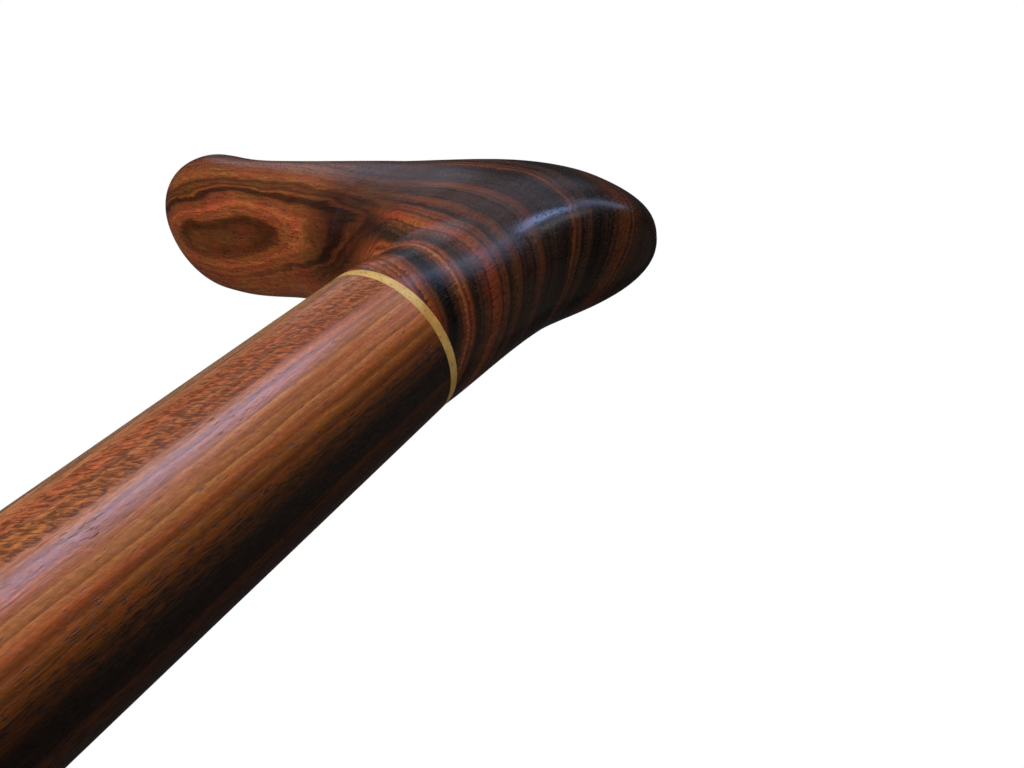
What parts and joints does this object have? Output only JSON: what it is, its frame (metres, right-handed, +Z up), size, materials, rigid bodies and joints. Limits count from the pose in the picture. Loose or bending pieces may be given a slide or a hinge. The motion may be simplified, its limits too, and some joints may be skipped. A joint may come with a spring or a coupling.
{
  "type": "walking cane",
  "caption": "Straight tapered wooden walking cane with a carved derby handle, a pale flush collar ring and a grooved rubber ferrule.",
  "frame": {"origin": "middle of the ferrule's tread, on the floor plane", "axes": "+Z up the shaft to the handle, +X toward the handle's nose, Y across the handle's width"},
  "size_m": [0.1196, 0.036, 0.9179],
  "materials": {
    "handle_wood": "rosewood carved smooth, oiled to a satin sheen",
    "shaft_wood": "rosewood turned and sanded, oiled to a satin sheen",
    "pale_wood": "boxwood, sanded flush and oiled",
    "stud_steel": "zinc plated",
    "washer_steel": "zinc plated",
    "ferrule_rubber": "matte moulded black rubber"
  },
  "bodies": {
    "root": {"handle": "handle_wood", "spacer_ring": "pale_wood", "shaft": "shaft_wood", "joining_stud": "stud_steel", "ferrule_washer": "washer_steel", "rubber_ferrule": "ferrule_rubber"}
  },
  "joints": []
}
